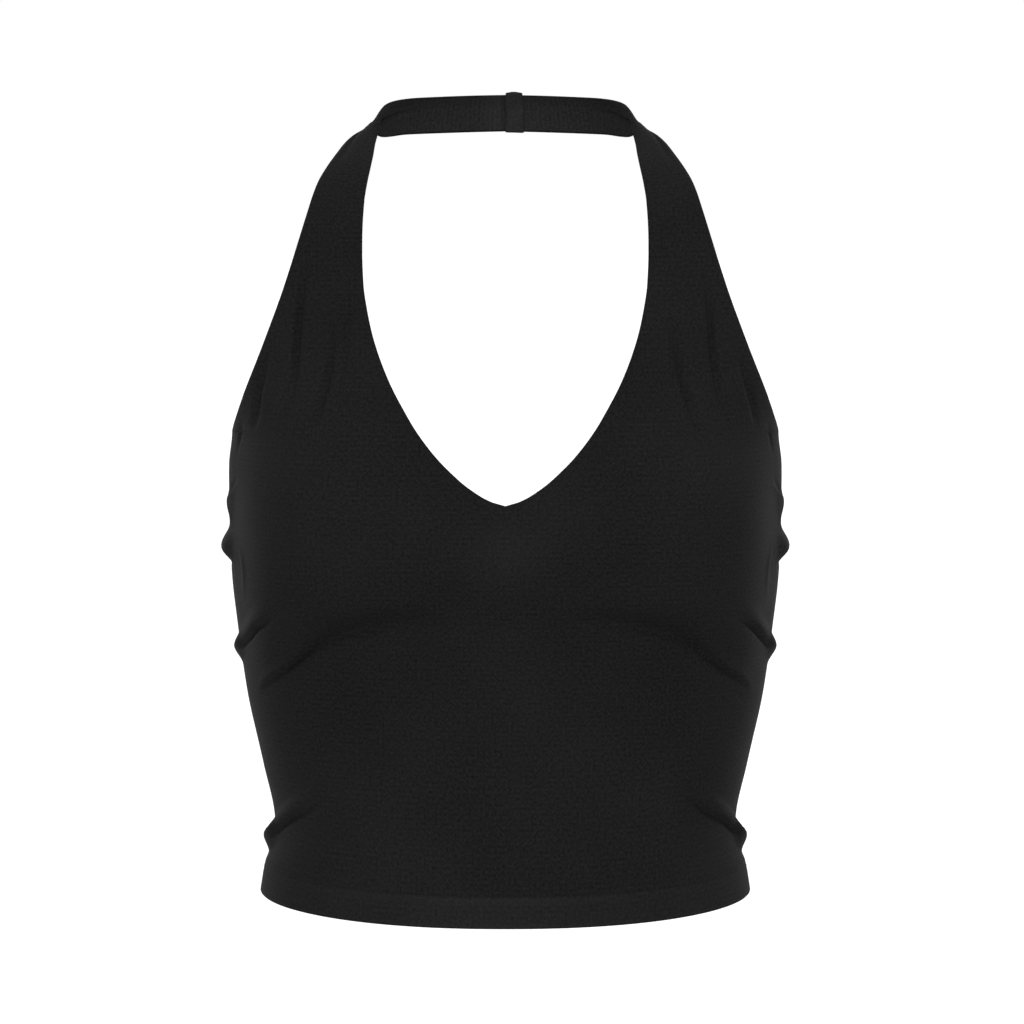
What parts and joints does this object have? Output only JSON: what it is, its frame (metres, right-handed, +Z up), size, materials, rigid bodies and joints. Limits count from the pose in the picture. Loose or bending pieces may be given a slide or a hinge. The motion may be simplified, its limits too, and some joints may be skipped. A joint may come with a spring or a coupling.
{
  "type": "halter-neck crop top",
  "caption": "Sleeveless cropped jersey top, worn open and hollow, with a V neckline, straps that meet at the nape, a low back and a turned hem.",
  "frame": {"origin": "the middle of the strap band at the nape, where the back of the neck carries the top", "axes": "+Z up, the front of the garment faces -Y, +X is the wearer's left"},
  "size_m": [0.2946, 0.2031, 0.4206],
  "materials": {
    "jersey": "matt black single-jersey knit with a slight sheen at grazing angles"
  },
  "bodies": {
    "root": {"front_panel": "jersey", "back_panel": "jersey", "neck_join": "jersey"}
  },
  "joints": []
}
